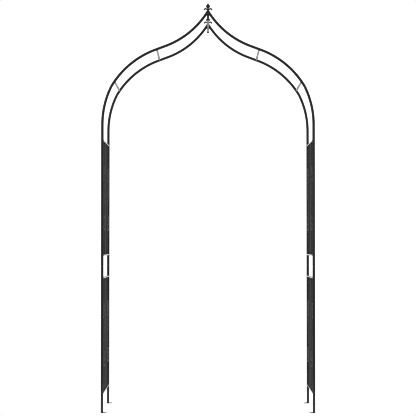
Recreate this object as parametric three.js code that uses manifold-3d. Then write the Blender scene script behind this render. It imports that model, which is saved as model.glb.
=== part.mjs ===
// A free-standing garden arch of round steel tube, in millimetres, +Z up. The origin is on the ground,
// midway between the four legs. X runs across the walkway and -Y is the front.
//
// It comes apart into two lower side frames, two upper side frames and two arch halves. Each frame's tubes
// slide over the reduced ends of the tubes below and are held by one screw. The arch halves meet on two
// finials, which a ridge bar joins.
import * as THREE from "three";
import { mergeVertices } from "three/addons/utils/BufferGeometryUtils.js";
import Module from "manifold-3d";

const wasm = await Module();
wasm.setup();

// Driving dimensions.
const HEIGHT = 2400; // ground to the finials' tips
const LEG_SPAN = 1240; // between leg centres, across the walkway
const DEPTH_SPAN = 488; // between leg centres, front to rear
const TUBE_RADIUS = 6.5; // legs and arch
const TUBE_BORE = 5.3;
const SPIGOT_RADIUS = 4.9; // reduced tube ends
const SPIGOT_BORE = 3.7;
const GAP = 0.3; // clearance where pieces meet at a slant or a curve

const FOOT_THICKNESS = 2;
const FOOT_WIDTH = 20;
const FOOT_REACH = 20; // beyond the tube, towards the walkway
const PEG_HOLE_RADIUS = 3.5;

const LEG_JOINT_Z = 857; // lower frame to upper frame
const LEG_SPIGOT_LENGTH = 45;
const SPRING_Z = 1690; // the legs start to curve here
const SHOULDER_RADIUS = 503;
const LEG_TURN = degrees(26.3); // lean of the upper frame's tubes where they end
const JOINT_KINK = degrees(4.3); // between an upper frame's tube and the arch tube
const SHOULDER_TURN = degrees(69.6); // lean at the end of the shoulder
const SHOULDER_STRAIGHT = 65; // between the shoulder and the ogee's hollow
const OGEE_RADIUS = 492;
const ARCH_SPIGOT_LENGTH = 30;

const RUNG_RADIUS = 5;
const RUNG_BORE = 4;
const RUNG_DISTANCES = [33, 352]; // along the arch tube, from its lower end
const RIDGE_RADIUS = 6;
const RIDGE_BORE = 4.8;
const RIDGE_Z = 2311;

const FLAT_WIDTH = 12; // flat bar of the side panels
const FLAT_THICKNESS = 3;
const RAIL_THICKNESS = 8;
const PANEL_BOTTOMS = { lower: 109, upper: 917 };
const PANEL_HEIGHT = 683;
const BAY_COUNT = 3;
const SCROLL_TILT = degrees(-31); // lean of the scroll's stem at its middle
const SCROLL_STEM = 326; // from the middle of the scroll to the start of its spiral
const SCROLL_OUTER_RADIUS = 39;
const SCROLL_INNER_RADIUS = 12;
const SCROLL_TURN = degrees(400);

const STEM_RADIUS = 5.5; // finial
const STEM_BOTTOM_Z = 2303;
const NECK_Z = 2373;
const NECK_RADIUS = 3.2;
const SPEAR_WIDEST_Z = 2382;
const SPEAR_RADIUS = 12.3;
const SPEAR_FLATTENING = 0.6;
const LEAF_BOTTOM_Z = 2352;
const LEAF_STRAIGHT = 10;
const LEAF_RADIUS = 9.5;
const LEAF_OFFSET = 2.5;
const LEAF_THICKNESS = 3; // half of the leaf's width

const PLATE = { width: 20, height: 24, thickness: 2.5, middle: 2340 };
const SCREW = { radius: 2.5, hole: 2.8, length: 9, head: 3.5, acrossFlats: 8 };
const SCREW_DISTANCE = 20; // from a tube's lower end to its screw

const ROUND_SIDES = 8; // the facets of a tube, with one facing each way along X and Y
const SIDES = [["left", -1], ["right", 1]];
const FACES = [["front", -1], ["rear", 1]];

const COATS = {
  frame_coat: { color: 0x2b2c2c, roughness: 0.32, metalness: 0.1 },
  flat_coat: { color: 0x2d2e2e, roughness: 0.36, metalness: 0.1 },
  casting_coat: { color: 0x262727, roughness: 0.4, metalness: 0.1 },
  fastener_steel: { color: 0x4a4b4c, roughness: 0.35, metalness: 0.9 },
};

const arch = new THREE.Group();

function degrees(angle) {
  return THREE.MathUtils.degToRad(angle);
}

function addMesh(name, geometry, coat, position = [0, 0, 0], turn = 0) {
  const mesh = new THREE.Mesh(geometry, new THREE.MeshStandardMaterial(COATS[coat]));
  mesh.name = name;
  mesh.position.set(...position);
  mesh.rotation.z = turn;
  arch.add(mesh);
}

// Solids.

function toSolid(geometry) {
  const bare = geometry.index ? geometry.toNonIndexed() : geometry.clone();
  bare.deleteAttribute("normal");
  bare.deleteAttribute("uv");
  const merged = mergeVertices(bare, 1e-3);
  return new wasm.Manifold(
    new wasm.Mesh({
      numProp: 3,
      vertProperties: merged.attributes.position.array,
      triVerts: new Uint32Array(merged.index.array),
    }),
  );
}

function toGeometry(solid) {
  const mesh = solid.getMesh();
  const geometry = new THREE.BufferGeometry();
  geometry.setAttribute("position", new THREE.BufferAttribute(new Float32Array(mesh.vertProperties), 3));
  geometry.setIndex(new THREE.BufferAttribute(new Uint32Array(mesh.triVerts), 1));
  geometry.computeVertexNormals();
  return geometry;
}

function joined(...geometries) {
  return toGeometry(geometries.map(toSolid).reduce((whole, piece) => whole.add(piece)));
}

function cut(geometry, ...tools) {
  return toGeometry(tools.map(toSolid).reduce((whole, tool) => whole.subtract(tool), toSolid(geometry)));
}

// Sections.

function polygon(radius) {
  const corner = radius / Math.cos(Math.PI / ROUND_SIDES);
  const points = [];
  for (let i = 0; i < ROUND_SIDES; i++) {
    const angle = ((i + 0.5) * 2 * Math.PI) / ROUND_SIDES;
    points.push(new THREE.Vector2(corner * Math.cos(angle), corner * Math.sin(angle)));
  }
  return points;
}

function tubeSection(radius, bore) {
  const section = new THREE.Shape(polygon(radius));
  if (bore) section.holes.push(new THREE.Path(polygon(bore)));
  return section;
}

function flatSection(width, thickness) {
  const [x, y] = [width / 2, thickness / 2];
  const corners = [[-x, -y], [x, -y], [x, y], [-x, y]];
  return new THREE.Shape(corners.map(([u, v]) => new THREE.Vector2(u, v)));
}

// Routes. A station is a point and a heading in a flat plane: u is to the side, z is up, and a heading of 0
// points up and grows towards -u.

function walk(start, moves) {
  const stations = [start];
  for (const { length = 0, radius = 0, turn = 0, steps = 1 } of moves) {
    for (let i = 0; i < steps; i++) {
      const { u, z, heading } = stations.at(-1);
      const bend = turn / steps;
      const chord = radius ? 2 * radius * Math.sin(Math.abs(bend) / 2) : length / steps;
      const way = heading + bend / 2;
      stations.push({ u: u - chord * Math.sin(way), z: z + chord * Math.cos(way), heading: heading + bend });
    }
  }
  return stations;
}

// A route whose parameter steps from station to station, so that a sweep turns only at the stations.
class Route extends THREE.Curve {
  constructor(stations, place) {
    super();
    this.points = stations.map(({ u, z }) => place(u, z));
    this.tangents = stations.map(({ heading }) => place(-Math.sin(heading), Math.cos(heading)));
  }

  nearest(list, t) {
    return list[Math.round(t * (list.length - 1))].clone();
  }

  getPointAt(t) {
    return this.nearest(this.points, t);
  }

  getTangentAt(t) {
    return this.nearest(this.tangents, t);
  }
}

const acrossPlane = (u, z) => new THREE.Vector3(u, 0, z);
const panelPlane = (u, z) => new THREE.Vector3(0, u, z);

function swept(section, stations, place) {
  const route = new Route(stations, place);
  return new THREE.ExtrudeGeometry(section, {
    steps: stations.length - 1,
    extrudePath: route,
    bevelEnabled: false,
  });
}

function upright(section, length) {
  return new THREE.ExtrudeGeometry(section, { depth: length, bevelEnabled: false });
}

// A straight bar along Y, centred on the origin.
function crossBar(section, length) {
  return upright(section, length).translate(0, 0, -length / 2).rotateX(Math.PI / 2);
}

// A drill for a screw that goes in from the side that faces inwards.
function screwDrill(side) {
  const length = 2 * TUBE_RADIUS;
  return new THREE.CylinderGeometry(SCREW.hole, SCREW.hole, length, 10).translate(0, (side * length) / 2, 0);
}

// The outline of the arch, on its right-hand side.

const legEnd = walk({ u: LEG_SPAN / 2, z: SPRING_Z, heading: 0 }, [
  { radius: SHOULDER_RADIUS, turn: LEG_TURN, steps: 6 },
]);
const archStart = { ...legEnd.at(-1), heading: LEG_TURN + JOINT_KINK };
const shoulder = walk(archStart, [
  { radius: SHOULDER_RADIUS, turn: SHOULDER_TURN - archStart.heading, steps: 7 },
  { length: SHOULDER_STRAIGHT },
]);
// The hollow of the ogee turns back until it is over the middle of the walkway.
const apexHeading = Math.acos(Math.cos(SHOULDER_TURN) + shoulder.at(-1).u / OGEE_RADIUS);
const archRoute = [
  ...shoulder,
  ...walk(shoulder.at(-1), [
    { radius: OGEE_RADIUS, turn: apexHeading - SHOULDER_TURN, steps: 7 },
    { length: 2 * TUBE_RADIUS },
  ]).slice(1),
];

// A place along the arch tube, measured from its lower end.
function alongArch(distance) {
  let left = distance;
  for (let i = 1; i < archRoute.length; i++) {
    const [a, b] = [archRoute[i - 1], archRoute[i]];
    const length = Math.hypot(b.u - a.u, b.z - a.z);
    if (left <= length) {
      const t = left / length;
      return { u: a.u + t * (b.u - a.u), z: a.z + t * (b.z - a.z), heading: a.heading + t * (b.heading - a.heading) };
    }
    left -= length;
  }
  return archRoute.at(-1);
}

// Tubes of the frames.

function lowerLeg(drillSide) {
  const tubeLength = LEG_JOINT_Z - FOOT_THICKNESS;
  const neck = TUBE_RADIUS + SPIGOT_RADIUS;
  const profile = [
    [TUBE_BORE, 0],
    [TUBE_RADIUS, 0],
    [TUBE_RADIUS, tubeLength],
    [SPIGOT_RADIUS, tubeLength],
    [SPIGOT_RADIUS, tubeLength + LEG_SPIGOT_LENGTH],
    [SPIGOT_BORE, tubeLength + LEG_SPIGOT_LENGTH],
    [SPIGOT_BORE, tubeLength - neck],
    [TUBE_BORE, tubeLength - 2 * neck],
    [TUBE_BORE, 0],
  ].map(([radius, z]) => new THREE.Vector2(radius / Math.cos(Math.PI / ROUND_SIDES), z));
  const tube = new THREE.LatheGeometry(profile, ROUND_SIDES, Math.PI / ROUND_SIDES).rotateX(Math.PI / 2);
  const drill = screwDrill(drillSide).translate(0, 0, tubeLength + SCREW_DISTANCE);
  return cut(tube, drill).translate(LEG_SPAN / 2, 0, FOOT_THICKNESS);
}

function upperLeg(drillSide) {
  const top = legEnd.at(-1);
  const foot = { u: LEG_SPAN / 2, z: LEG_JOINT_Z, heading: 0 };
  const route = [foot, ...legEnd.slice(0, -1), { ...top, heading: LEG_TURN + JOINT_KINK / 2 }];
  const tube = swept(tubeSection(TUBE_RADIUS, TUBE_BORE), route, acrossPlane);
  // The reduced end starts inside the tube, where a collar fills the bore.
  const inside = (distance) => ({
    u: top.u + distance * Math.sin(top.heading),
    z: top.z - distance * Math.cos(top.heading),
    heading: top.heading,
  });
  const outside = [0.5, 0.75, 1].map((part) => alongArch(part * ARCH_SPIGOT_LENGTH));
  const spigot = swept(tubeSection(SPIGOT_RADIUS, SPIGOT_BORE), [inside(10), inside(1), ...outside], acrossPlane);
  const collar = swept(tubeSection(TUBE_BORE + GAP, SPIGOT_BORE), [inside(10), inside(1)], acrossPlane);
  const drills = [
    screwDrill(drillSide).translate(LEG_SPAN / 2, 0, LEG_JOINT_Z + SCREW_DISTANCE),
    screwDrill(drillSide).translate(alongArch(SCREW_DISTANCE).u, 0, alongArch(SCREW_DISTANCE).z),
  ];
  return cut(joined(tube, collar, spigot), ...drills);
}

function archTube(drillSide) {
  const lowerEnd = { ...alongArch(GAP), heading: LEG_TURN + JOINT_KINK / 2 };
  const stations = [lowerEnd, ...archRoute.slice(1)];
  const tube = swept(tubeSection(TUBE_RADIUS, TUBE_BORE), stations, acrossPlane);
  const beyondStem = new THREE.BoxGeometry(100, 100, 200).translate(STEM_RADIUS + GAP - 50, 0, RIDGE_Z);
  const screw = alongArch(SCREW_DISTANCE);
  return cut(tube, beyondStem, screwDrill(drillSide).translate(screw.u, 0, screw.z));
}

// A plate under the leg, with a hole for a ground peg beside it.
function footPlate() {
  const half = FOOT_WIDTH / 2;
  const roundCentre = TUBE_RADIUS + FOOT_REACH - half;
  const outline = new THREE.Shape();
  outline.moveTo(-TUBE_RADIUS, -half);
  outline.lineTo(roundCentre, -half);
  outline.absarc(roundCentre, 0, half, -Math.PI / 2, Math.PI / 2);
  outline.lineTo(-TUBE_RADIUS, half);
  outline.holes.push(new THREE.Path().absarc(roundCentre, 0, PEG_HOLE_RADIUS, 0, 2 * Math.PI, true));
  return new THREE.ExtrudeGeometry(outline, { depth: FOOT_THICKNESS, bevelEnabled: false, curveSegments: 10 });
}

// A screw along Y: its head is outside and its shank points to -side.
function screw(side) {
  const corner = SCREW.acrossFlats / 2 / Math.cos(Math.PI / 6);
  const head = new THREE.CylinderGeometry(corner, corner, SCREW.head, 6).translate(0, (side * SCREW.head) / 2, 0);
  const shankLength = SCREW.length + SCREW.head / 2;
  const shankMiddle = SCREW.head / 2 - shankLength / 2;
  const shank = new THREE.CylinderGeometry(SCREW.radius, SCREW.radius, shankLength, 8);
  return joined(head, shank.translate(0, side * shankMiddle, 0));
}

// Side panels.

// Half of an S scroll, from its middle: the stem curls ever tighter, then runs into a spiral.
function scrollHalf() {
  const spiralLength =
    (SCROLL_TURN * (SCROLL_OUTER_RADIUS - SCROLL_INNER_RADIUS)) / Math.log(SCROLL_OUTER_RADIUS / SCROLL_INNER_RADIUS);
  const stations = [{ u: 0, z: 0, heading: SCROLL_TILT }];
  const advance = (length, radius) => {
    const last = stations.at(-1);
    const way = last.heading + length / radius / 2;
    const [u, z] = [last.u - length * Math.sin(way), last.z + length * Math.cos(way)];
    stations.push({ u, z, heading: last.heading + length / radius });
  };
  const stemSteps = 14;
  for (let i = 0; i < stemSteps; i++) {
    advance(SCROLL_STEM / stemSteps, (SCROLL_OUTER_RADIUS * stemSteps) / (i + 0.5));
  }
  const spiralSteps = 16;
  for (let i = 0; i < spiralSteps; i++) {
    const done = (i + 0.5) / spiralSteps;
    advance(spiralLength / spiralSteps, THREE.MathUtils.lerp(SCROLL_OUTER_RADIUS, SCROLL_INNER_RADIUS, done));
  }
  return stations;
}

function scroll() {
  const upper = scrollHalf();
  const lower = upper.slice(1).map(({ u, z, heading }) => ({ u: -u, z: -z, heading }));
  return swept(flatSection(FLAT_WIDTH, FLAT_THICKNESS), [...lower.reverse(), ...upper], panelPlane);
}

function addPanel(side, x, level, bottom) {
  const name = (piece) => `${level}_${side}_${piece}`;
  const inside = DEPTH_SPAN - 2 * TUBE_RADIUS;
  const rail = crossBar(flatSection(FLAT_WIDTH, RAIL_THICKNESS), inside);
  addMesh(name("bottom_rail"), rail, "flat_coat", [x, 0, bottom + RAIL_THICKNESS / 2]);
  addMesh(name("top_rail"), rail, "flat_coat", [x, 0, bottom + PANEL_HEIGHT - RAIL_THICKNESS / 2]);
  const bar = upright(flatSection(FLAT_WIDTH, FLAT_THICKNESS), PANEL_HEIGHT - 2 * RAIL_THICKNESS);
  const bay = DEPTH_SPAN / BAY_COUNT;
  // Each scroll is midway between a leg and the upright next to it.
  const scrollY = (inside / 2 + (bay + FLAT_THICKNESS) / 2) / 2;
  for (const [face, sign] of FACES) {
    addMesh(name(`${face}_upright`), bar, "flat_coat", [x, (sign * bay) / 2, bottom + RAIL_THICKNESS]);
    addMesh(name(`${face}_scroll`), scroll(), "flat_coat", [x, sign * scrollY, bottom + PANEL_HEIGHT / 2]);
  }
}

// Finials and the ridge.

function finial() {
  const turned = (pairs) => {
    const profile = pairs.map(([radius, z]) => new THREE.Vector2(radius, z));
    return new THREE.LatheGeometry(profile, ROUND_SIDES, Math.PI / ROUND_SIDES).rotateX(Math.PI / 2);
  };
  const stem = turned([
    [0, STEM_BOTTOM_Z],
    [STEM_RADIUS, STEM_BOTTOM_Z],
    [STEM_RADIUS, LEAF_BOTTOM_Z],
    [NECK_RADIUS, NECK_Z],
    [0, SPEAR_WIDEST_Z],
  ]);
  const spear = turned([
    [0, NECK_Z - NECK_RADIUS],
    [NECK_RADIUS, NECK_Z - NECK_RADIUS],
    [SPEAR_RADIUS, SPEAR_WIDEST_Z],
    [SPEAR_RADIUS / 2, (SPEAR_WIDEST_Z + HEIGHT) / 2 + 1],
    [0, HEIGHT],
  ]).scale(1, SPEAR_FLATTENING, 1);
  const leaves = SIDES.map(([, sign]) =>
    swept(
      tubeSection(LEAF_THICKNESS),
      walk({ u: sign * LEAF_OFFSET, z: LEAF_BOTTOM_Z, heading: 0 }, [
        { length: LEAF_STRAIGHT },
        { radius: LEAF_RADIUS, turn: -sign * Math.PI, steps: 8 },
      ]),
      acrossPlane,
    ),
  );
  return joined(stem, spear, ...leaves);
}

function apexPlate() {
  const { width, height, thickness } = PLATE;
  const outline = flatSection(width, height);
  outline.holes.push(new THREE.Path().absarc(0, 0, SCREW.hole, 0, 2 * Math.PI, true));
  return new THREE.ExtrudeGeometry(outline, { depth: thickness, bevelEnabled: false, curveSegments: 5 })
    .translate(0, 0, -thickness / 2)
    .rotateX(Math.PI / 2);
}

// Assembly.

for (const [side, sign] of SIDES) {
  const turn = sign > 0 ? 0 : Math.PI;
  for (const [face, faceSign] of FACES) {
    const y = (faceSign * DEPTH_SPAN) / 2;
    const place = [0, y, 0];
    const drillSide = -faceSign * sign;
    const name = (piece) => `${side}_${face}_${piece}`;
    addMesh(name("foot_plate"), footPlate(), "frame_coat", [(sign * LEG_SPAN) / 2, y, 0], turn + Math.PI);
    addMesh(name("lower_leg"), lowerLeg(drillSide), "frame_coat", place, turn);
    addMesh(name("upper_leg"), upperLeg(drillSide), "frame_coat", place, turn);
    addMesh(name("arch_tube"), archTube(drillSide), "frame_coat", place, turn);
    const screwY = y - faceSign * TUBE_RADIUS;
    const joint = alongArch(SCREW_DISTANCE);
    const legScrew = [(sign * LEG_SPAN) / 2, screwY, LEG_JOINT_Z + SCREW_DISTANCE];
    addMesh(name("leg_screw"), screw(-faceSign), "fastener_steel", legScrew);
    addMesh(name("arch_screw"), screw(-faceSign), "fastener_steel", [sign * joint.u, screwY, joint.z]);
  }
  const rungLength = DEPTH_SPAN - 2 * TUBE_RADIUS;
  RUNG_DISTANCES.map(alongArch).forEach(({ u, z }, i) => {
    const rung = crossBar(tubeSection(RUNG_RADIUS, RUNG_BORE), rungLength);
    addMesh(`${side}_${["lower", "upper"][i]}_rung`, rung, "frame_coat", [sign * u, 0, z]);
  });
  for (const [level, bottom] of Object.entries(PANEL_BOTTOMS)) {
    addPanel(side, (sign * LEG_SPAN) / 2, level, bottom);
  }
}

const ridge = crossBar(tubeSection(RIDGE_RADIUS, RIDGE_BORE), DEPTH_SPAN - 2 * STEM_RADIUS);
addMesh("ridge_bar", ridge, "frame_coat", [0, 0, RIDGE_Z]);
for (const [face, sign] of FACES) {
  const drill = screwDrill(sign).translate(0, 0, PLATE.middle);
  addMesh(`${face}_finial`, cut(finial(), drill), "casting_coat", [0, (sign * DEPTH_SPAN) / 2, 0]);
  const plateY = sign * (DEPTH_SPAN / 2 + TUBE_RADIUS + PLATE.thickness / 2);
  addMesh(`${face}_apex_plate`, apexPlate(), "frame_coat", [0, plateY, PLATE.middle]);
  const headY = plateY + (sign * PLATE.thickness) / 2;
  addMesh(`${face}_apex_screw`, screw(sign), "fastener_steel", [0, headY, PLATE.middle]);
}

export default arch;
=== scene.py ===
"""The looks of a free-standing garden arch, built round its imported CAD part.

Every piece is made in mesh code, in metres, in the part's frame: X across the walkway, +Y to the rear, +Z up.
"""

import math

import bmesh
import bpy
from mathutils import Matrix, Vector, noise


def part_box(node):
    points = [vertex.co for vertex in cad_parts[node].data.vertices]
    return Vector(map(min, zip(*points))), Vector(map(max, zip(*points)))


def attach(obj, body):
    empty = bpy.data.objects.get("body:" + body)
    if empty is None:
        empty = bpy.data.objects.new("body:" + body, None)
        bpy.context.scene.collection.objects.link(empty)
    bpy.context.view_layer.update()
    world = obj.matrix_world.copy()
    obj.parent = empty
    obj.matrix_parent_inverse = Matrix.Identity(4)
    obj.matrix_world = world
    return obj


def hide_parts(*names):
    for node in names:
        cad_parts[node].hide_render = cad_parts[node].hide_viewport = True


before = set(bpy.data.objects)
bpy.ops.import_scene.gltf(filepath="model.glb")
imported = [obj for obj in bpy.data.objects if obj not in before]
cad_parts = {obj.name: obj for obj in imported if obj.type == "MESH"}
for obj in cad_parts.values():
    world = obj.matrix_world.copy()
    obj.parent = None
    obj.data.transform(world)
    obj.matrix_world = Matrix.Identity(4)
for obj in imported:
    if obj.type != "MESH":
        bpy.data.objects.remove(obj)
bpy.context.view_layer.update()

MM = 0.001
ROUND = 40  # points round a tube
SIDES = {"left": -1, "right": 1}
FACES = {"front": -1, "rear": 1}
LEVELS = ("lower", "upper")
X, Y, Z = Vector((1, 0, 0)), Vector((0, 1, 0)), Vector((0, 0, 1))


def radians(*angles):
    return [math.radians(a) for a in angles]


# The part's driving dimensions.
SPRING_Z = 1690 * MM
SHOULDER_RADIUS, OGEE_RADIUS = 503 * MM, 492 * MM
LEG_TURN, JOINT_KINK, SHOULDER_TURN = radians(26.3, 4.3, 69.6)  # below the joint, at it, and in all
SHOULDER_STRAIGHT = 65 * MM
TUBE_BORE, SPIGOT_RADIUS, SPIGOT_BORE = 5.3 * MM, 4.9 * MM, 3.7 * MM
LEG_SPIGOT, ARCH_SPIGOT = 45 * MM, 30 * MM
ELBOW = 6 * MM  # along which the upper leg's end turns into the arch tube's line
GAP = 0.3 * MM  # between pieces that meet
SCREW_DISTANCE = 20 * MM  # from a tube's lower end to its screw
RUNG_RADIUS = 5 * MM
RIDGE_RADIUS = 6 * MM
STEM_RADIUS = 5.5 * MM
FLAT_WIDTH, FLAT_THICKNESS = 12 * MM, 3 * MM
SCROLL_TILT, SCROLL_TURN = radians(-31, 400)
SCROLL_STEM = 326 * MM  # from the middle of the scroll to the start of its spiral
SCROLL_OUTER_RADIUS, SCROLL_INNER_RADIUS = 39 * MM, 12 * MM
PEG_HOLE, SCREW_HOLE = 3.5 * MM, 2.8 * MM  # radii

# The radii of weld beads.
FOOT_WELD, RUNG_WELD, RIDGE_WELD = 1.5 * MM, 1.25 * MM, 0.9 * MM
RAIL_WELD, UPRIGHT_WELD, SCROLL_LEG_WELD = 1.3 * MM, 1.1 * MM, 1.4 * MM


def middle(node):
    low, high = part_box(node)
    return (low + high) / 2


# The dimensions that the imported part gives.
LEG_LOW, LEG_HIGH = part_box("right_rear_lower_leg")
LEG_X, LEG_Y = middle("right_rear_lower_leg").xy
TUBE_RADIUS = (LEG_HIGH.x - LEG_LOW.x) / 2
JOINT_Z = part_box("right_rear_upper_leg")[0].z
FOOT_LOW, FOOT_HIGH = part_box("right_rear_foot_plate")


# Meshes.


class Shape:
    """Closed shells that become one piece, with the wear of each point."""

    def __init__(self):
        self.points, self.faces, self.wear = [], [], []

    def loft(self, rings, closed=False, wear=None):
        """A skin over rings of points. It ends in caps, unless it is closed into a loop."""
        first, count = len(self.points), len(rings[0])
        for i, points in enumerate(rings):
            self.points += points
            self.wear += [wear[i] if wear else 0.0] * count
        index = lambda i, j: first + i % len(rings) * count + j % count
        for i in range(len(rings) if closed else len(rings) - 1):
            self.faces += [
                (index(i, j), index(i, j + 1), index(i + 1, j + 1), index(i + 1, j)) for j in range(count)
            ]
        if not closed:
            for i, way in ((0, -1), (len(rings) - 1, 1)):
                self.faces.append(tuple(index(i, j) for j in range(count))[::way])

    def mesh(self, name):
        """The shells as one mesh, with their faces pointing out."""
        mesh = bpy.data.meshes.new(name)
        mesh.from_pydata(self.points, [], self.faces)
        work = bmesh.new()
        work.from_mesh(mesh)
        bmesh.ops.recalc_face_normals(work, faces=work.faces)
        work.to_mesh(mesh)
        work.free()
        return mesh

    def piece(self, name, material, slot, nodes=(), sharp=40):
        """Shows the shells as a piece that stands for some nodes. Edges that bend more than sharp degrees
        stay crisp."""
        mesh = self.mesh(name)
        set_wear(mesh, self.wear)
        mesh.shade_smooth()
        mesh.set_sharp_from_angle(angle=math.radians(sharp))
        show(name, mesh, material, nodes)


def set_wear(mesh, wear):
    """Gives each point of a mesh its wear, from 0 to 1, which the materials read."""
    mesh.attributes.new("wear", "FLOAT", "POINT").data.foreach_set("value", wear)


def show(name, mesh, material, nodes):
    piece = add_object(name, mesh)
    mesh.materials.append(material)
    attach(piece, "root")
    if nodes:
        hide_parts(*nodes)


def add_object(name, data):
    obj = bpy.data.objects.new(name, data)
    bpy.context.scene.collection.objects.link(obj)
    return obj


def circle(radius, count=ROUND):
    turn = 2 * math.pi / count
    return [(radius * math.cos(i * turn), radius * math.sin(i * turn)) for i in range(count)]


def arc(centre, radius, start, end, count):
    """Points on part of a circle, from one angle in degrees to another."""
    points = []
    for i in range(count):
        angle = math.radians(start + (end - start) * i / (count - 1))
        points.append((centre[0] + radius * math.cos(angle), centre[1] + radius * math.sin(angle)))
    return points


def rounded_box(width, thickness, corner, inset=0.0, count=5):
    """The outline of a box with round corners of count points each, moved in by an inset."""
    radius = max(corner - inset, 0.02 * MM)
    past = max(0, inset - corner)  # past the corners' centres, the sides come in too
    u, v = width / 2 - corner - past, thickness / 2 - corner - past
    points = []
    for i, centre in enumerate(((u, v), (-u, v), (-u, -v), (u, -v))):
        points += arc(centre, radius, 90 * i, 90 * i + 90, count)
    return points


def evenly(outline, spacing):
    """A closed outline with more points on its long sides."""
    points = []
    for a, b in zip(outline, outline[1:] + outline[:1]):
        parts = max(1, round(math.dist(a, b) / spacing))
        points += [(a[0] + (b[0] - a[0]) * i / parts, a[1] + (b[1] - a[1]) * i / parts) for i in range(parts)]
    return points


def ring(station, section):
    """A section's points at a station: a place, a direction, and the way that the section's u runs."""
    place, way, side = station
    other = way.cross(side)
    return [place + side * u + other * v for u, v in section]


def filled(profile, spacing):
    """A profile of (distance, value) pairs, with more pairs where they lie far apart."""
    out = [profile[0]]
    for (a, va), (b, vb) in zip(profile, profile[1:]):
        parts = max(1, math.ceil(abs(b - a) / spacing))
        out += [(a + (b - a) * i / parts, va + (vb - va) * i / parts) for i in range(1, parts + 1)]
    return out


def eased(start, end, value, ease, sign=-1):
    """A profile whose value falls (or rises, with sign 1) round a quarter circle at both ends."""
    bends = [(1 - math.cos(a), 1 - math.sin(a)) for a in radians(0, 30, 60, 90)]
    near = [(start + ease * d, value + sign * ease * v) for d, v in bends]
    far = [(end - ease * d, value + sign * ease * v) for d, v in reversed(bends)]
    return near + far


def worn(distances, length, marks=()):
    """Wear along a piece: full at its ends and marks, and gone at about twice the fade from them."""
    spots, fade = [0.0, length, *marks], 4 * MM
    return [max(math.exp(-(((d - s) / fade) ** 2)) for s in spots) for d in distances]


def pipe(shape, station, outer, bore, spacing=14 * MM, marks=()):
    """A hollow tube: outer and bore are profiles of (distance, radius)."""
    outside, inside = filled(outer, spacing), filled(bore, 3 * spacing)[::-1]
    rings = [ring(station(d), circle(r)) for d, r in outside + inside]
    wear = worn([d for d, _ in outside], outer[-1][0], marks) + [0.0] * len(inside)
    shape.loft(rings, closed=True, wear=wear)


def bar(shape, station, length, section, ease, spacing=12 * MM, ends=None):
    """A solid bar, eased at its ends. section(inset) gives its outline, and ends(points, sign) may fit an end
    to a tube."""
    profile = filled(eased(0, length, 0, ease, sign=1), spacing)
    rings = [ring(station(d), section(inset)) for d, inset in profile]
    if ends:
        rings[0], rings[-1] = ends(rings[0], -1), ends(rings[-1], 1)
    shape.loft(rings, wear=worn([d for d, _ in profile], length))


def bead(shape, points, radius, axis, closed=True):
    """A weld: a rippled, slightly uneven bead along a line of points. The line crosses the direction axis."""
    rings, count = [], len(points)
    for i, point in enumerate(points):
        before = points[i - 1] if closed or i else point
        after = points[(i + 1) % count] if closed or i < count - 1 else point
        way = (after - before).normalized()
        side = (axis - way * axis.dot(way)).normalized()
        # A ripple takes four points.
        ripple = 1 + 0.09 * math.sin(i * math.pi / 2) + 0.3 * noise.noise(point / (3 * MM))
        if not closed:
            part = 2 * (i + 0.5) / count - 1  # from -1 to 1; the bead thins out at both
            ripple *= math.sqrt(1 - part**4)
        rings.append(ring((point, way, side), circle(radius * ripple, 10)))
    shape.loft(rings, closed=closed)


def line(start, end, count):
    return [start.lerp(end, i / (count - 1)) for i in range(count)]


class Path:
    """A line of straight and round stretches in an upright plane. A heading of 0 is up, and grows towards -u.
    The moves are pairs of a length and a turn."""

    def __init__(self, u, z, heading, moves):
        self.stretches, self.length = [], 0.0
        for length, turn in moves:
            self.stretches.append((self.length, u, z, heading, length, turn))
            u, z, heading = self.go(u, z, heading, length, turn, length)
            self.length += length
        self.end = u, z, heading

    @staticmethod
    def go(u, z, heading, length, turn, distance):
        """Where a stretch of that length and turn has come to after a distance."""
        bend = turn * distance / length
        chord = distance * (math.sin(bend / 2) / (bend / 2) if abs(bend) > 1e-9 else 1)
        way = heading + bend / 2
        return u - chord * math.sin(way), z + chord * math.cos(way), heading + bend

    def at(self, distance):
        start, *stretch = [s for s in self.stretches if s[0] <= max(distance, 0)][-1]
        return self.go(*stretch, distance - start)

    def across(self, side, y):
        """Stations of the line across the walkway, on one side and at one depth."""

        def station(distance):
            u, z, heading = self.at(distance)
            return Vector((side * u, y, z)), Vector((-side * math.sin(heading), 0, math.cos(heading))), Y

        return station


def arch_paths():
    """The upper leg's line with its spigot, its length without, and the arch tube's line up to the middle."""
    leg_moves = [(SPRING_Z - JOINT_Z, 0), (SHOULDER_RADIUS * LEG_TURN, LEG_TURN)]
    leg = Path(LEG_X, JOINT_Z, 0, leg_moves)
    u, z, heading = leg.end
    start = u, z, heading + JOINT_KINK
    shoulder_turn = SHOULDER_TURN - LEG_TURN - JOINT_KINK
    shoulder_length = SHOULDER_RADIUS * shoulder_turn
    rise_moves = [(shoulder_length, shoulder_turn), (SHOULDER_STRAIGHT, 0)]
    rise = Path(*start, rise_moves)
    # The hollow of the ogee turns back until it is over the middle of the walkway.
    back = math.acos(math.cos(SHOULDER_TURN) + rise.end[0] / OGEE_RADIUS) - SHOULDER_TURN
    arch = Path(*start, rise_moves + [(-OGEE_RADIUS * back, back)])
    rest = ARCH_SPIGOT - ELBOW
    spigot_moves = [(ELBOW, JOINT_KINK), (rest, shoulder_turn * rest / shoulder_length)]
    return Path(LEG_X, JOINT_Z, 0, leg_moves + spigot_moves), leg.length, arch


# Materials.


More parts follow.
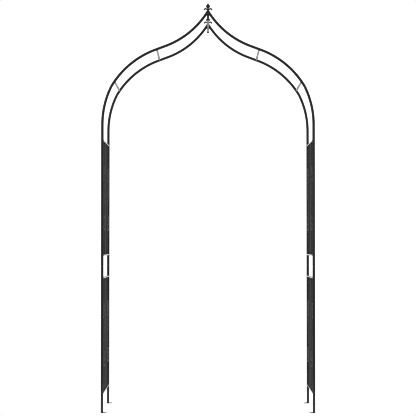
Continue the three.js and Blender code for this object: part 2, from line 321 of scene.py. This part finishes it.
class Coat:
    """A node material in the making. Its textures lie in the object's own space, in metres."""

    def __init__(self, name, **shader):
        self.material = bpy.data.materials.new(name)
        self.material.use_nodes = True
        self.tree = self.material.node_tree
        self.shader = self.tree.nodes["Principled BSDF"]
        self.set(self.shader, shader)
        self.space = self.tree.nodes.new("ShaderNodeTexCoord").outputs["Object"]

    def set(self, node, inputs):
        for key, value in inputs.items():
            socket = node.inputs[key if isinstance(key, int) else key.replace("_", " ")]
            if isinstance(value, bpy.types.NodeSocket):
                self.tree.links.new(value, socket)
            else:
                socket.default_value = value

    def node(self, kind, settings=None, **inputs):
        node = self.tree.nodes.new("ShaderNode" + kind)
        for key, value in (settings or {}).items():
            setattr(node, key, value)
        self.set(node, inputs)
        return node

    def noise(self, size, detail=3.0, rough=0.55):
        """Noise from 0 to 1, whose features are about size metres across."""
        node = self.node("TexNoise", Vector=self.space, Scale=1 / size, Detail=detail, Roughness=rough)
        return node.outputs["Fac"]

    def span(self, value, low, high, start=0.0, end=1.0):
        """value from low to high, spread to run from start to end."""
        node = self.node("MapRange", Value=value, From_Min=low, From_Max=high, To_Min=start, To_Max=end)
        return node.outputs["Result"]

    def math(self, operation, a, b):
        node = self.node("Math", {"operation": operation})
        self.set(node, {0: a, 1: b})
        return node.outputs[0]

    def mix(self, share, a, b):
        """Colour a where share is 0, and b where it is 1."""
        node = self.node("Mix", {"data_type": "RGBA"})
        self.set(node, {0: share, 6: a, 7: b})
        return node.outputs[2]

    def attribute(self, name):
        return self.node("Attribute", {"attribute_name": name}).outputs["Fac"]

    def bump(self, height, depth, below=None):
        inputs = {"Height": height, "Distance": depth, "Strength": 1.0}
        if below:
            inputs["Normal"] = below
        return self.node("Bump", **inputs).outputs["Normal"]

    def finish(self, colour, roughness, normal):
        self.set(self.shader, {"Base Color": colour, "Roughness": roughness, "Normal": normal})
        return self.material


def shade(grey, warm=0.0, green=0.0):
    """A grey that leans towards red or green."""
    return (grey * (1 + warm), grey * (1 + green), grey * (1 - warm), 1.0)


def powder_coat(name, grey, gloss, peel=0.03 * MM, grain=0.0, lumps=0.0, green=0.0):
    """Black powder coat: cloudy gloss, orange peel, dust on top and near the ground, and scuffs where it is
    worn. peel, grain and lumps are the depths of the orange peel, a casting's grain and uneven steel."""
    coat = Coat(name, Specular_IOR_Level=0.5, IOR=1.5, Metallic=0.0)
    cloud = coat.span(coat.noise(180 * MM, detail=4), 0.3, 0.7)
    colour = coat.mix(cloud, shade(grey * 0.8, -0.02, green), shade(grey * 1.25, 0.01, green))
    mottle = coat.noise(9 * MM, detail=5)
    roughness = coat.span(mottle, 0.25, 0.75, gloss - 0.05, gloss + 0.07)

    # Settled dust: on faces that look up, and more of it near the ground.
    up = coat.node("SeparateXYZ", Vector=coat.node("NewGeometry").outputs["Normal"]).outputs["Z"]
    height = coat.node("SeparateXYZ", Vector=coat.space).outputs["Z"]
    near_ground = coat.span(height, 0.0, 0.12, 0.55, 0.0)
    dust = coat.math("MAXIMUM", coat.span(up, 0.5, 1.0, 0.0, 0.6), near_ground)
    patchy = coat.span(coat.noise(22 * MM, detail=6, rough=0.7), 0.42, 0.72)
    dust = coat.math("MULTIPLY", dust, patchy)
    colour = coat.mix(coat.math("MULTIPLY", dust, 0.5), colour, shade(0.05, 0.08))
    roughness = coat.math("ADD", roughness, coat.math("MULTIPLY", dust, 0.25))

    # Scuffs where tubes slide together or a bar was cut.
    chips = coat.span(coat.noise(1.6 * MM, detail=4, rough=0.6), 0.5, 0.62)
    scuff = coat.math("MULTIPLY", coat.attribute("wear"), chips)
    colour = coat.mix(coat.math("MULTIPLY", scuff, 0.7), colour, shade(0.06, 0.01))
    roughness = coat.math("ADD", roughness, coat.math("MULTIPLY", scuff, 0.3))

    normal = coat.bump(coat.noise(2.2 * MM, detail=1.5), peel)
    if grain:
        normal = coat.bump(coat.noise(0.7 * MM, detail=4, rough=0.7), grain, normal)
    if lumps:
        normal = coat.bump(coat.noise(14 * MM, detail=2), lumps, normal)
    return coat.finish(colour, roughness, normal)


def black_steel(name):
    """Black-oxide screws, with fine turning marks and bright worn edges."""
    coat = Coat(name, Metallic=0.85)
    cloud = coat.noise(4 * MM, detail=5, rough=0.65)
    colour = coat.mix(coat.span(cloud, 0.3, 0.75), shade(0.03), shade(0.065, 0.02))
    edge = coat.math("MULTIPLY", coat.attribute("wear"), coat.span(coat.noise(0.8 * MM), 0.4, 0.6))
    colour = coat.mix(edge, colour, shade(0.2, 0.03))
    roughness = coat.span(coat.noise(1.5 * MM, detail=4), 0.2, 0.8, 0.28, 0.45)
    return coat.finish(colour, roughness, coat.bump(coat.noise(0.35 * MM, detail=3), 0.012 * MM))


FRAME = powder_coat("frame_coat_look", grey=0.013, gloss=0.16)
# The flat bars wear the frame's black powder coat, but their grey is set about six times lighter and a touch
# green: painted light for the light that their broad faces catch.
FLAT_PAINTED_LIT = powder_coat("flat_coat_painted_lit_look", grey=0.076, gloss=0.15, lumps=0.05 * MM, green=0.1)
CASTING = powder_coat(
    "casting_coat_look", grey=0.014, gloss=0.24, peel=0.05 * MM, grain=0.03 * MM, lumps=0.12 * MM
)
WELD = powder_coat("weld_coat_look", grey=0.013, gloss=0.2, peel=0.06 * MM)
STEEL = black_steel("fastener_steel_look")


# Tubes of the frames.

LEG_PATH, LEG_LENGTH, ARCH_PATH = arch_paths()
NECK = 4 * MM  # the taper where a tube is reduced to a spigot
LIP = 0.35 * MM  # the round of a tube's end


def reduced(start, joint, end, spigot_end):
    """Outer and bore profiles of a tube that is reduced at the joint, and goes on into the next tube."""
    outer = eased(start, joint, TUBE_RADIUS, LIP)[:4] + [
        (joint - NECK, TUBE_RADIUS),
        (joint - 0.75 * NECK, TUBE_RADIUS - 0.12 * MM),
        (joint - 0.3 * NECK, SPIGOT_RADIUS + 0.45 * MM),
        (joint, SPIGOT_RADIUS + 0.08 * MM),
        (joint + 0.4 * NECK, SPIGOT_RADIUS),
    ]
    outer += eased(start, spigot_end, SPIGOT_RADIUS, 2 * LIP)[4:]
    bore = [(start, TUBE_BORE - LIP / 2), (start + LIP, TUBE_BORE), (joint - 2 * NECK, TUBE_BORE)]
    return outer, bore + [(joint, SPIGOT_BORE), (end, SPIGOT_BORE), (spigot_end, SPIGOT_BORE)]


def lower_leg(side, y, name):
    station = lambda d: (Vector((side * LEG_X, y, FOOT_HIGH.z + d)), Z, Y)
    joint = JOINT_Z - FOOT_HIGH.z
    shape = Shape()
    outer, bore = reduced(0, joint, joint + LEG_SPIGOT - LIP, joint + LEG_SPIGOT)
    pipe(shape, station, outer, bore, marks=[joint])
    shape.piece(name + "_tube", FRAME, "frame_coat", [name])


def upper_leg(side, y, name):
    shape = Shape()
    outer, bore = reduced(GAP, LEG_LENGTH, LEG_PATH.length - LIP, LEG_PATH.length)
    pipe(shape, LEG_PATH.across(side, y), outer, bore, marks=[LEG_LENGTH])
    shape.piece(name + "_tube", FRAME, "frame_coat", [name])


def arch_tube(side, y, name):
    """The arch tube. Its top is cut upright, against the finial's stem."""
    station, length = ARCH_PATH.across(side, y), ARCH_PATH.length
    start = 0.5 * MM  # clear of the upper leg's kinked end
    cut_x = STEM_RADIUS + GAP
    outer = eased(start, length, TUBE_RADIUS, LIP)[:4] + [(length, TUBE_RADIUS)]
    bore = [(start, TUBE_BORE - LIP / 2), (start + LIP, TUBE_BORE), (length, TUBE_BORE)]
    rings, wear = [], []
    for profile in (filled(outer, 10 * MM), filled(bore, 30 * MM)[::-1]):
        wear += worn([d for d, _ in profile], length)
        rings += [ring(station(d), circle(r)) for d, r in profile]
    way = station(length)[1]
    for points in rings:
        for i, point in enumerate(points):
            if point.x * side < cut_x:
                # Slide the point back down the tube until it lies in the plane of the cut.
                points[i] = point + way * ((side * cut_x - point.x) / way.x)
    shape = Shape()
    shape.loft(rings, closed=True, wear=wear)
    shape.piece(name + "_tube", FRAME, "frame_coat", [name])


def saddle(centre, way, radius):
    """Fits the ends of a bar along Y to the round tubes that it joins. way is the tubes' direction."""
    across, sink = way.cross(Y), 0.25 * MM

    def fit(points, sign):
        out = []
        for p in points:
            off = min(abs((p - centre).dot(across)), 0.97 * radius)
            out.append(Vector((p.x, sign * (LEG_Y - math.sqrt(radius**2 - off**2) + sink), p.z)))
        return out

    return fit


def cross_bar(shape, welds, centre, section, outline, fit, weld_radius):
    """A bar along Y between two tubes, with a weld round each end that follows an outline."""
    half, back = LEG_Y - TUBE_RADIUS + GAP, 0.5 * MM
    station = lambda d: (Vector((centre.x, d - half, centre.z)), Y, X)
    bar(shape, station, 2 * half, section, 0.01 * MM, spacing=40 * MM, ends=fit)
    for sign in (-1, 1):
        points = fit(ring((Vector((centre.x, sign * half, centre.z)), Y, X), outline), sign)
        bead(welds, [p - Y * sign * back for p in points], weld_radius, Y)


def rungs(side_name, side):
    welds = Shape()
    arch, steps = ARCH_PATH.across(side, 0), 2000
    stations = [arch(ARCH_PATH.length * i / steps) for i in range(steps + 1)]
    for level in LEVELS:
        name = f"{side_name}_{level}_rung"
        centre = middle(name)
        # The rung lies on the arch tube's own line, so the nearest point of that line gives its lean.
        _, way, _ = min(stations, key=lambda station: (station[0] - centre).length)
        shape = Shape()
        section = lambda inset: circle(RUNG_RADIUS - inset)
        outline = circle(RUNG_RADIUS + 0.2 * MM, 64)
        cross_bar(shape, welds, centre, section, outline, saddle(centre, way, TUBE_RADIUS), RUNG_WELD)
        shape.piece(name + "_bar", FRAME, "frame_coat", [name])
    welds.piece(f"{side_name}_rung_welds", WELD, "frame_coat")


def ridge():
    centre = middle("ridge_bar")
    shape, welds = Shape(), Shape()
    section = lambda inset: circle(RIDGE_RADIUS - inset)
    outline = circle(RIDGE_RADIUS - 0.3 * MM, 72)
    cross_bar(shape, welds, centre, section, outline, saddle(centre, Z, STEM_RADIUS), RIDGE_WELD)
    shape.piece("ridge_bar_tube", FRAME, "frame_coat", ["ridge_bar"])
    welds.piece("ridge_welds", WELD, "frame_coat")


# Plates and screws.


def plate(shape, outline, hole, hole_radius, thickness, ease, place):
    """A plate with a hole and eased edges. outline(inset) gives its rim, and place(u, v, height) puts a
    point."""
    angles = [math.atan2(v - hole[1], u - hole[0]) for u, v in outline(0)]

    def rim(inset, height):
        return [place(u, v, height) for u, v in outline(inset)]

    def bore(radius, height):
        return [place(hole[0] + radius * math.cos(a), hole[1] + radius * math.sin(a), height) for a in angles]

    # The rim from the plate's underside round to its top: inset, height and wear, which fades out inwards.
    soft, faded = 0.3 * ease, 1.2 * MM
    steps = [(faded, 0, 0), (ease, 0, 0.6), (soft, soft, 1), (0, ease, 0.6)]
    steps += [(inset, thickness - height, wear) for inset, height, wear in reversed(steps)]
    rings = [rim(inset, height) for inset, height, _ in steps]
    rings += [bore(hole_radius + inset, height) for inset, height, _ in reversed(steps)]
    wear = [w for *_, w in steps]
    shape.loft(rings, closed=True, wear=wear + wear[::-1])


def foot(side, y, name):
    """A plate under a leg, with a hole for a ground peg on the walkway's side, and a weld round the leg."""
    half = (FOOT_HIGH.y - FOOT_LOW.y) / 2
    back = FOOT_HIGH.x - LEG_X
    reach = LEG_X - FOOT_LOW.x
    corner = 1.5 * MM

    def outline(inset):
        points = arc((reach - half, 0), half - inset, -90, 90, 33)
        for v, start in ((1, 90), (-1, 180)):
            points += arc((corner - back, v * (half - corner)), corner - inset, start, start + 90, 6)
        return points

    place = lambda u, v, h: Vector((side * (LEG_X - u), y + v, h))
    shape = Shape()
    plate(shape, outline, (reach - half, 0), PEG_HOLE, FOOT_HIGH.z, 0.4 * MM, place)
    shape.piece(name + "_steel", FRAME, "frame_coat", [name])
    welds = Shape()
    around = arc((0, 0), TUBE_RADIUS + 0.5 * MM, -118, 118, 68)
    bead(welds, [place(u, v, FOOT_HIGH.z + 0.4 * MM) for u, v in around], FOOT_WELD, Z, closed=False)
    welds.piece(name + "_weld", WELD, "frame_coat")


def screw(name, seat, out, across=None):
    """A hexagon screw with a washer. seat is the middle of the surface that it is screwed down on, and out is
    the sign of the way that it points along Y. On a round tube, across is the direction across the tube."""
    count = 48
    pitch, shank, depth = 0.8 * MM, 2.5 * MM, 0.32 * MM
    washer, washer_top, top = 4.8 * MM, 0.8 * MM, 3.5 * MM
    flats, crown = 4.0 * MM, 3.75 * MM  # half the width across flats, and the radius of the round top
    rings, wear = [], []

    def at(radius, i, height):
        angle = 2 * math.pi * i / count
        return seat + Vector((radius * math.cos(angle), out * height, radius * math.sin(angle)))

    def fall(radius, i):
        """How far the round tube falls away under a point of the washer."""
        if across is None:
            return 0.0
        off = min(abs((at(radius, i, 0) - seat).dot(across)), TUBE_RADIUS)
        return TUBE_RADIUS - math.sqrt(TUBE_RADIUS**2 - off**2)

    def hexagon(i):
        return flats / math.cos((2 * math.pi * i / count + math.pi / 6) % (math.pi / 3) - math.pi / 6)

    def thread(i, height):
        turn = (height / pitch - i / count) % 1
        return shank - depth * abs(2 * turn - 1)

    def add(radius, height, value=0.0):
        """Adds a ring with some wear. Its radius and height are numbers, or functions of a point's index."""
        pick = lambda measure, i: measure(i) if callable(measure) else measure
        rings.append([at(pick(radius, i), i, pick(height, i)) for i in range(count)])
        wear.append(value)

    # The shank: a chamfered end, the thread in steps of a fifth of a millimetre, and a plain neck.
    add(shank - 0.8 * MM, -9 * MM)
    add(shank - depth, -8.5 * MM)
    for level in range(-42, -8):
        height = level * MM / 5
        add(lambda i: thread(i, height), height)
    add(shank - depth, -1.5 * MM)
    # The washer's rim: its underside follows the tube, and its top is nearly flat.
    for radius, rise, value in ((washer, 0.0, 0.6), (washer, 0.5, 0.9), (washer - 0.15 * MM, 0.8, 1.0)):
        add(radius, lambda i: rise * MM - fall(radius, i) * (1 - rise), value)
    # The hexagon: a small round at its foot, its sides, and its corners turned off at the top.
    for lift, grow in ((0.0, 0.3), (0.1, 0.08), (0.3, 0.0)):
        add(lambda i: hexagon(i) - 0.35 * MM + grow * MM, washer_top + lift * MM, 0.1)
    add(hexagon, washer_top + 0.6 * MM, 0.3)
    add(hexagon, lambda i: top - (hexagon(i) - crown) * math.tan(math.radians(30)), 0.9)
    # The top, which is slightly hollow: radius and height in millimetres, and wear.
    for radius, height, value in ((3.7, 3.5, 0.8), (2.9, 3.46, 0.3), (2.6, 3.36, 0.1), (0.6, 3.34, 0.0)):
        add(radius * MM, height * MM, value)
    shape = Shape()
    shape.loft(rings, wear=wear)
    shape.piece(name + "_hexagon", STEEL, "fastener_steel", [name], sharp=25)


def apex(face, sign):
    """The plate over the point of one arch, and the screw that holds it to the finial's stem."""
    name = face + "_apex_plate"
    low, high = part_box(name)
    centre = (low + high) / 2
    inner, outer = (low.y, high.y) if sign > 0 else (high.y, low.y)
    width, height = high.x - low.x, high.z - low.z
    outline = lambda inset: rounded_box(width - 2 * inset, height - 2 * inset, 2.5 * MM, count=9)
    place = lambda u, v, h: Vector((centre.x + u, inner + sign * h, centre.z + v))
    shape = Shape()
    plate(shape, outline, (0, 0), SCREW_HOLE, high.y - low.y, 0.5 * MM, place)
    shape.piece(name + "_steel", FRAME, "frame_coat", [name])
    screw(face + "_apex_screw", Vector((0, outer, centre.z)), sign)


# Side panels.


def scroll_line():
    """The S scroll's line from its middle: the stem curls ever tighter, then runs into a spiral."""
    spiral = SCROLL_TURN * (SCROLL_OUTER_RADIUS - SCROLL_INNER_RADIUS)
    spiral /= math.log(SCROLL_OUTER_RADIUS / SCROLL_INNER_RADIUS)
    length = SCROLL_STEM + spiral
    count = round(length / (3 * MM))
    step = length / count
    points = [(0.0, 0.0, SCROLL_TILT)]
    for i in range(count):
        done = (i + 0.5) * step
        if done < SCROLL_STEM:
            bend = done / SCROLL_STEM / SCROLL_OUTER_RADIUS
        else:
            part = (done - SCROLL_STEM) / spiral
            bend = 1 / (SCROLL_OUTER_RADIUS + (SCROLL_INNER_RADIUS - SCROLL_OUTER_RADIUS) * part)
        points.append(Path.go(*points[-1], step, bend * step, step))
    return points


HALF_SCROLL = scroll_line()
SCROLL = [(-u, -z, h) for u, z, h in HALF_SCROLL[:0:-1]] + HALF_SCROLL
SCROLL_STEP = math.dist(SCROLL[0][:2], SCROLL[1][:2])


def scroll(name, welds):
    """A scroll of flat bar, with two welds at each place where it touches its leg or its upright."""
    centre = middle(name)
    length = (len(SCROLL) - 1) * SCROLL_STEP

    def station(distance):
        place = min(distance / SCROLL_STEP, len(SCROLL) - 1.001)  # always short of the last point
        i, part = int(place), place % 1
        u, z, heading = [a + (b - a) * part for a, b in zip(SCROLL[i], SCROLL[i + 1])]
        return centre + Vector((0, u, z)), Vector((0, -math.sin(heading), math.cos(heading))), X

    shape = Shape()
    section = lambda inset: rounded_box(FLAT_WIDTH, FLAT_THICKNESS, 0.9 * MM, inset)
    bar(shape, station, length, section, 0.7 * MM, spacing=SCROLL_STEP)
    shape.piece(name + "_bar", FLAT_PAINTED_LIT, "flat_coat", [name])
    widest = max(u for u, _, _ in SCROLL)
    for u, z, heading in SCROLL:
        upright_here = abs(math.sin(heading)) < SCROLL_STEP / 2 / SCROLL_OUTER_RADIUS
        if not upright_here or abs(u) < widest - 1 * MM:
            continue
        y = centre.y + math.copysign(abs(u) + FLAT_THICKNESS / 2, u)
        # Beside a round leg the beads fill an open gap, so they are fatter and closer together.
        on_leg = abs(y) > LEG_Y - 2 * TUBE_RADIUS
        out, reach = (1.3 * MM, 4.5 * MM) if on_leg else (0.1 * MM, 4.9 * MM)
        radius = SCROLL_LEG_WELD if on_leg else UPRIGHT_WELD
        for x in (-reach, reach):
            at = Vector((centre.x + x, y + math.copysign(out, y - centre.y), centre.z + z))
            bead(welds, line(at - Z * 8 * MM, at + Z * 8 * MM, 20), radius, X, closed=False)


def rail(name, welds):
    low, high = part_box(name)
    centre, height = (low + high) / 2, high.z - low.z
    section = lambda inset: rounded_box(FLAT_WIDTH, height, 1.1 * MM, inset)
    outline = evenly(rounded_box(FLAT_WIDTH - 3 * MM, height + 0.3 * MM, 1.2 * MM, count=6), 0.6 * MM)
    shape = Shape()
    cross_bar(shape, welds, centre, section, outline, saddle(centre, Z, TUBE_RADIUS), RAIL_WELD)
    shape.piece(name + "_bar", FLAT_PAINTED_LIT, "flat_coat", [name])


def upright(name, welds):
    """A flat bar between two rails, with a weld on both faces of each end."""
    low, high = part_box(name)
    centre, sink = (low + high) / 2, 0.2 * MM
    section = lambda inset: rounded_box(FLAT_WIDTH, FLAT_THICKNESS, 0.6 * MM, inset)
    station = lambda d: (Vector((centre.x, centre.y, low.z - sink + d)), Z, X)
    shape = Shape()
    bar(shape, station, high.z - low.z + 2 * sink, section, 0.05 * MM, spacing=30 * MM)
    shape.piece(name + "_bar", FLAT_PAINTED_LIT, "flat_coat", [name])
    reach = X * (FLAT_WIDTH / 2 - 0.6 * MM)
    for z in (low.z + 0.3 * MM, high.z - 0.3 * MM):
        for sign in (-1, 1):
            at = Vector((centre.x, centre.y + sign * (FLAT_THICKNESS / 2 + 0.2 * MM), z))
            bead(welds, line(at - reach, at + reach, 24), UPRIGHT_WELD, Z, closed=False)


def panel(level, side_name):
    name = lambda piece: f"{level}_{side_name}_{piece}"
    welds = Shape()
    rail(name("bottom_rail"), welds)
    rail(name("top_rail"), welds)
    for face in FACES:
        upright(name(face + "_upright"), welds)
        scroll(name(face + "_scroll"), welds)
    welds.piece(name("welds"), WELD, "flat_coat")


# Finials.


def lathe(shape, profile, y, flatten=1.0, ridge=0.0):
    """A turned solid, from pairs of radius and height. flatten presses it along Y, and ridge raises a soft
    edge down its front and back."""
    rings = []
    for radius, z in profile:
        points = []
        for u, v in circle(radius, 48):
            edge = ridge * radius * max(0.0, 1 - abs(u) / max(radius, 1e-6)) ** 1.5
            points.append(Vector((u, y + flatten * v + math.copysign(edge, v), z)))
        rings.append(points)
    shape.loft(rings)


def leaf(shape, sign, y, base):
    """A leaf that rises from the stem, turns over and ends in a small curl."""
    moves = [(8 * MM, 0.0), (12.6 * MM, -1.12), (11.4 * MM, -1.6), (2 * MM, -0.4)]
    path = Path(1.5 * MM, base, -0.45, moves)
    # Its radius in millimetres, at shares of its length.
    radii = [(0.0, 2.8), (0.2, 2.6), (0.42, 3.1), (0.62, 3.5), (0.78, 3.1), (0.92, 2.3), (1.0, 1.3)]
    rings, count = [], 48
    for i in range(count + 1):
        part = i / count
        for (a, va), (b, vb) in zip(radii, radii[1:]):
            if a <= part <= b:
                radius = (va + (vb - va) * (part - a) / (b - a)) * MM
        u, z, heading = path.at(part * path.length)
        way = Vector((-sign * math.sin(heading), 0, math.cos(heading)))
        section = [(0.85 * p, q) for p, q in circle(radius, 24)]
        rings.append(ring((Vector((sign * u, y, z)), way, Y), section))
    shape.loft(rings)


def melted(name, shape):
    """The shells as one mesh, blended where they meet."""
    work = add_object(name + "_work", shape.mesh(name + "_work"))
    blend = work.modifiers.new("blend", "REMESH")
    blend.mode, blend.voxel_size = "VOXEL", 0.5 * MM
    smooth = work.modifiers.new("smooth", "SMOOTH")
    smooth.factor, smooth.iterations = 0.5, 4
    mesh = bpy.data.meshes.new_from_object(work.evaluated_get(bpy.context.evaluated_depsgraph_get()))
    bpy.data.objects.remove(work)
    mesh.name = name
    return mesh


def finial(name):
    """A cast finial: a round stem, two curled leaves and a ridged spearhead, with a worn tip."""
    low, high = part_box(name)
    y = (low.y + high.y) / 2
    base, tip = low.z, high.z
    shape = Shape()

    # The stem, a collar of two beads under the leaves, and the neck. Heights are above the base.
    ease = 0.8 * MM
    stem = [(STEM_RADIUS - ease, base), (STEM_RADIUS - 0.3 * ease, base + 0.3 * ease)]
    stem += [(STEM_RADIUS, base + ease)] + [(STEM_RADIUS, base + d * MM) for d in range(5, 46, 5)]
    collar = [(46.2, 0.1), (47, 0.8), (48, 1.1), (49, 0.8), (49.7, 0.1)]
    collar += [(50.4, 0.7), (51.4, 0.9), (52.4, 0.4)]
    stem += [(STEM_RADIUS + lift * MM, base + d * MM) for d, lift in collar]
    stem += [(radius * MM, base + d * MM) for d, radius in ((54, 4.9), (60, 4.5), (68, 4.2), (75, 3.6))]
    lathe(shape, stem, y)

    # The spearhead: radii, and heights from its tip.
    spear = [(2.5, -32), (4.3, -30.5), (4.5, -27.5), (5.9, -24.5), (8.6, -21.6), (11.2, -19), (12.1, -17.6)]
    spear += [(12, -16.4), (11, -14.2), (9.1, -11.2), (7.1, -8.2), (5.2, -5.3), (3.4, -2.6), (1.9, -0.6)]
    spear += [(0.9, 0.5)]
    lathe(shape, [(r * MM, tip + z * MM) for r, z in spear], y, flatten=0.42, ridge=0.14)
    for sign in (-1, 1):
        leaf(shape, sign, y, base + 53.5 * MM)

    mesh = melted(name, shape)
    for vertex in mesh.vertices:  # none may leave the part's box
        vertex.co = Vector(min(max(c, a), b) for c, a, b in zip(vertex.co, low, high))
    set_wear(mesh, [1.0 if v.co.z > tip - 1.2 * MM else 0.0 for v in mesh.vertices])
    mesh.shade_smooth()
    show(name + "_casting", mesh, CASTING, [name])


# Assembly.

for side_name, side in SIDES.items():
    for face, face_sign in FACES.items():
        y = face_sign * LEG_Y
        name = lambda piece: f"{side_name}_{face}_{piece}"
        foot(side, y, name("foot_plate"))
        lower_leg(side, y, name("lower_leg"))
        upper_leg(side, y, name("upper_leg"))
        arch_tube(side, y, name("arch_tube"))
        seat = face_sign * (LEG_Y - TUBE_RADIUS)
        leg_seat = Vector((side * LEG_X, seat, JOINT_Z + SCREW_DISTANCE))
        screw(name("leg_screw"), leg_seat, -face_sign, across=X)
        place, way, _ = ARCH_PATH.across(side, seat)(SCREW_DISTANCE)
        screw(name("arch_screw"), place, -face_sign, across=way.cross(Y))
    rungs(side_name, side)
    for level in LEVELS:
        panel(level, side_name)
ridge()
for face, face_sign in FACES.items():
    finial(face + "_finial")
    apex(face, face_sign)


# The floor, the light and the camera.


def floor():
    """A pale, glossless floor disc that glows a little, so that shadows on it stay soft and light."""
    radius, count = 1.15, 96
    mesh = bpy.data.meshes.new("floor")
    mesh.from_pydata([(u, v, 0) for u, v in circle(radius, count)], [], [tuple(range(count))])
    coat = Coat("pale_floor", Specular_IOR_Level=0.2, Emission_Color=(1, 1, 1, 1), Emission_Strength=0.5)
    colour = coat.mix(coat.noise(0.8), shade(0.93), shade(0.96))
    normal = coat.bump(coat.noise(8 * MM), 0.05 * MM)
    mesh.materials.append(coat.finish(colour, 0.85, normal))
    add_object("floor", mesh)


def studio():
    """A studio with dim side walls, a bright wall behind the arch, a bright ceiling and two softboxes."""
    dim, seen = 0.13, 1.02  # the walls' light, and the white that the camera sees
    # Each glow adds an amount of light, which grows along an axis from a start to an end.
    glows = (("Y", 0.93, 1.0, 1.45), ("Y", 0.0, -1.0, 0.25), ("Z", 0.2, 1.0, 0.65))
    world = bpy.data.worlds.new("studio")
    world.use_nodes = True
    tree = world.node_tree
    node = lambda kind: tree.nodes.new("ShaderNode" + kind)
    link = tree.links.new
    where = node("SeparateXYZ")
    link(node("TexCoord").outputs["Generated"], where.inputs["Vector"])
    total = node("Value")
    total.outputs[0].default_value = dim
    for axis, start, end, amount in glows:
        glow, add = node("MapRange"), node("Math")
        link(where.outputs[axis], glow.inputs["Value"])
        for key, value in (("From Min", start), ("From Max", end), ("To Min", 0), ("To Max", amount)):
            glow.inputs[key].default_value = value
        link(total.outputs[0], add.inputs[0])
        link(glow.outputs["Result"], add.inputs[1])
        total = add
    shown = node("Mix")
    link(node("LightPath").outputs["Is Camera Ray"], shown.inputs["Factor"])
    link(total.outputs[0], shown.inputs["A"])
    shown.inputs["B"].default_value = seen
    link(shown.outputs["Result"], tree.nodes["Background"].inputs["Strength"])
    tree.nodes["Background"].inputs["Color"].default_value = (1, 1, 1, 1)
    bpy.context.scene.world = world

    aim = Vector((0, 0, 1.3))
    for name, place, power in (
        ("front_softbox", Vector((-3.2, -3.6, 2.2)), 30),
        ("rear_softbox", Vector((3.4, 3.2, 2.4)), 12),
    ):
        light = bpy.data.lights.new(name, "AREA")
        light.shape, light.size, light.size_y, light.energy = "RECTANGLE", 0.6, 2.6, power
        obj = add_object(name, light)
        obj.location = place
        obj.rotation_euler = (aim - place).to_track_quat("-Z", "Y").to_euler()
        obj.visible_camera = False


def camera():
    """A camera in front of the arch, below its middle. It looks up a little, and has a small shift."""
    distance, height, tilt = 7.998, 0.998, math.radians(1.098)
    view_width = 2.4386  # seen at that distance, which is from the front legs
    shift, picture = 8, 416  # pixels: up the picture, and all across it
    data = bpy.data.cameras.new("camera")
    data.sensor_width = 36
    data.lens = data.sensor_width * distance / view_width
    data.shift_y = shift / picture
    obj = add_object("camera", data)
    obj.location = (0, -LEG_Y - distance, height)
    obj.rotation_euler = (math.pi / 2 + tilt, 0, 0)
    bpy.context.scene.camera = obj


def film():
    """The picture's response: crisp, and with dark midtones, so that thin black tubes stay black on white."""
    scene = bpy.context.scene
    scene.cycles.filter_width = 1.0
    settings = scene.view_settings
    settings.view_transform = "Standard"
    settings.use_curve_mapping = True
    curve = settings.curve_mapping.curves[3]  # the one for all three colours together
    for x, y in ((0.02, 0.019), (0.1, 0.06), (0.25, 0.115), (0.5, 0.285), (0.75, 0.565)):
        curve.points.new(x, y)
    settings.curve_mapping.update()


floor()
studio()
camera()
film()
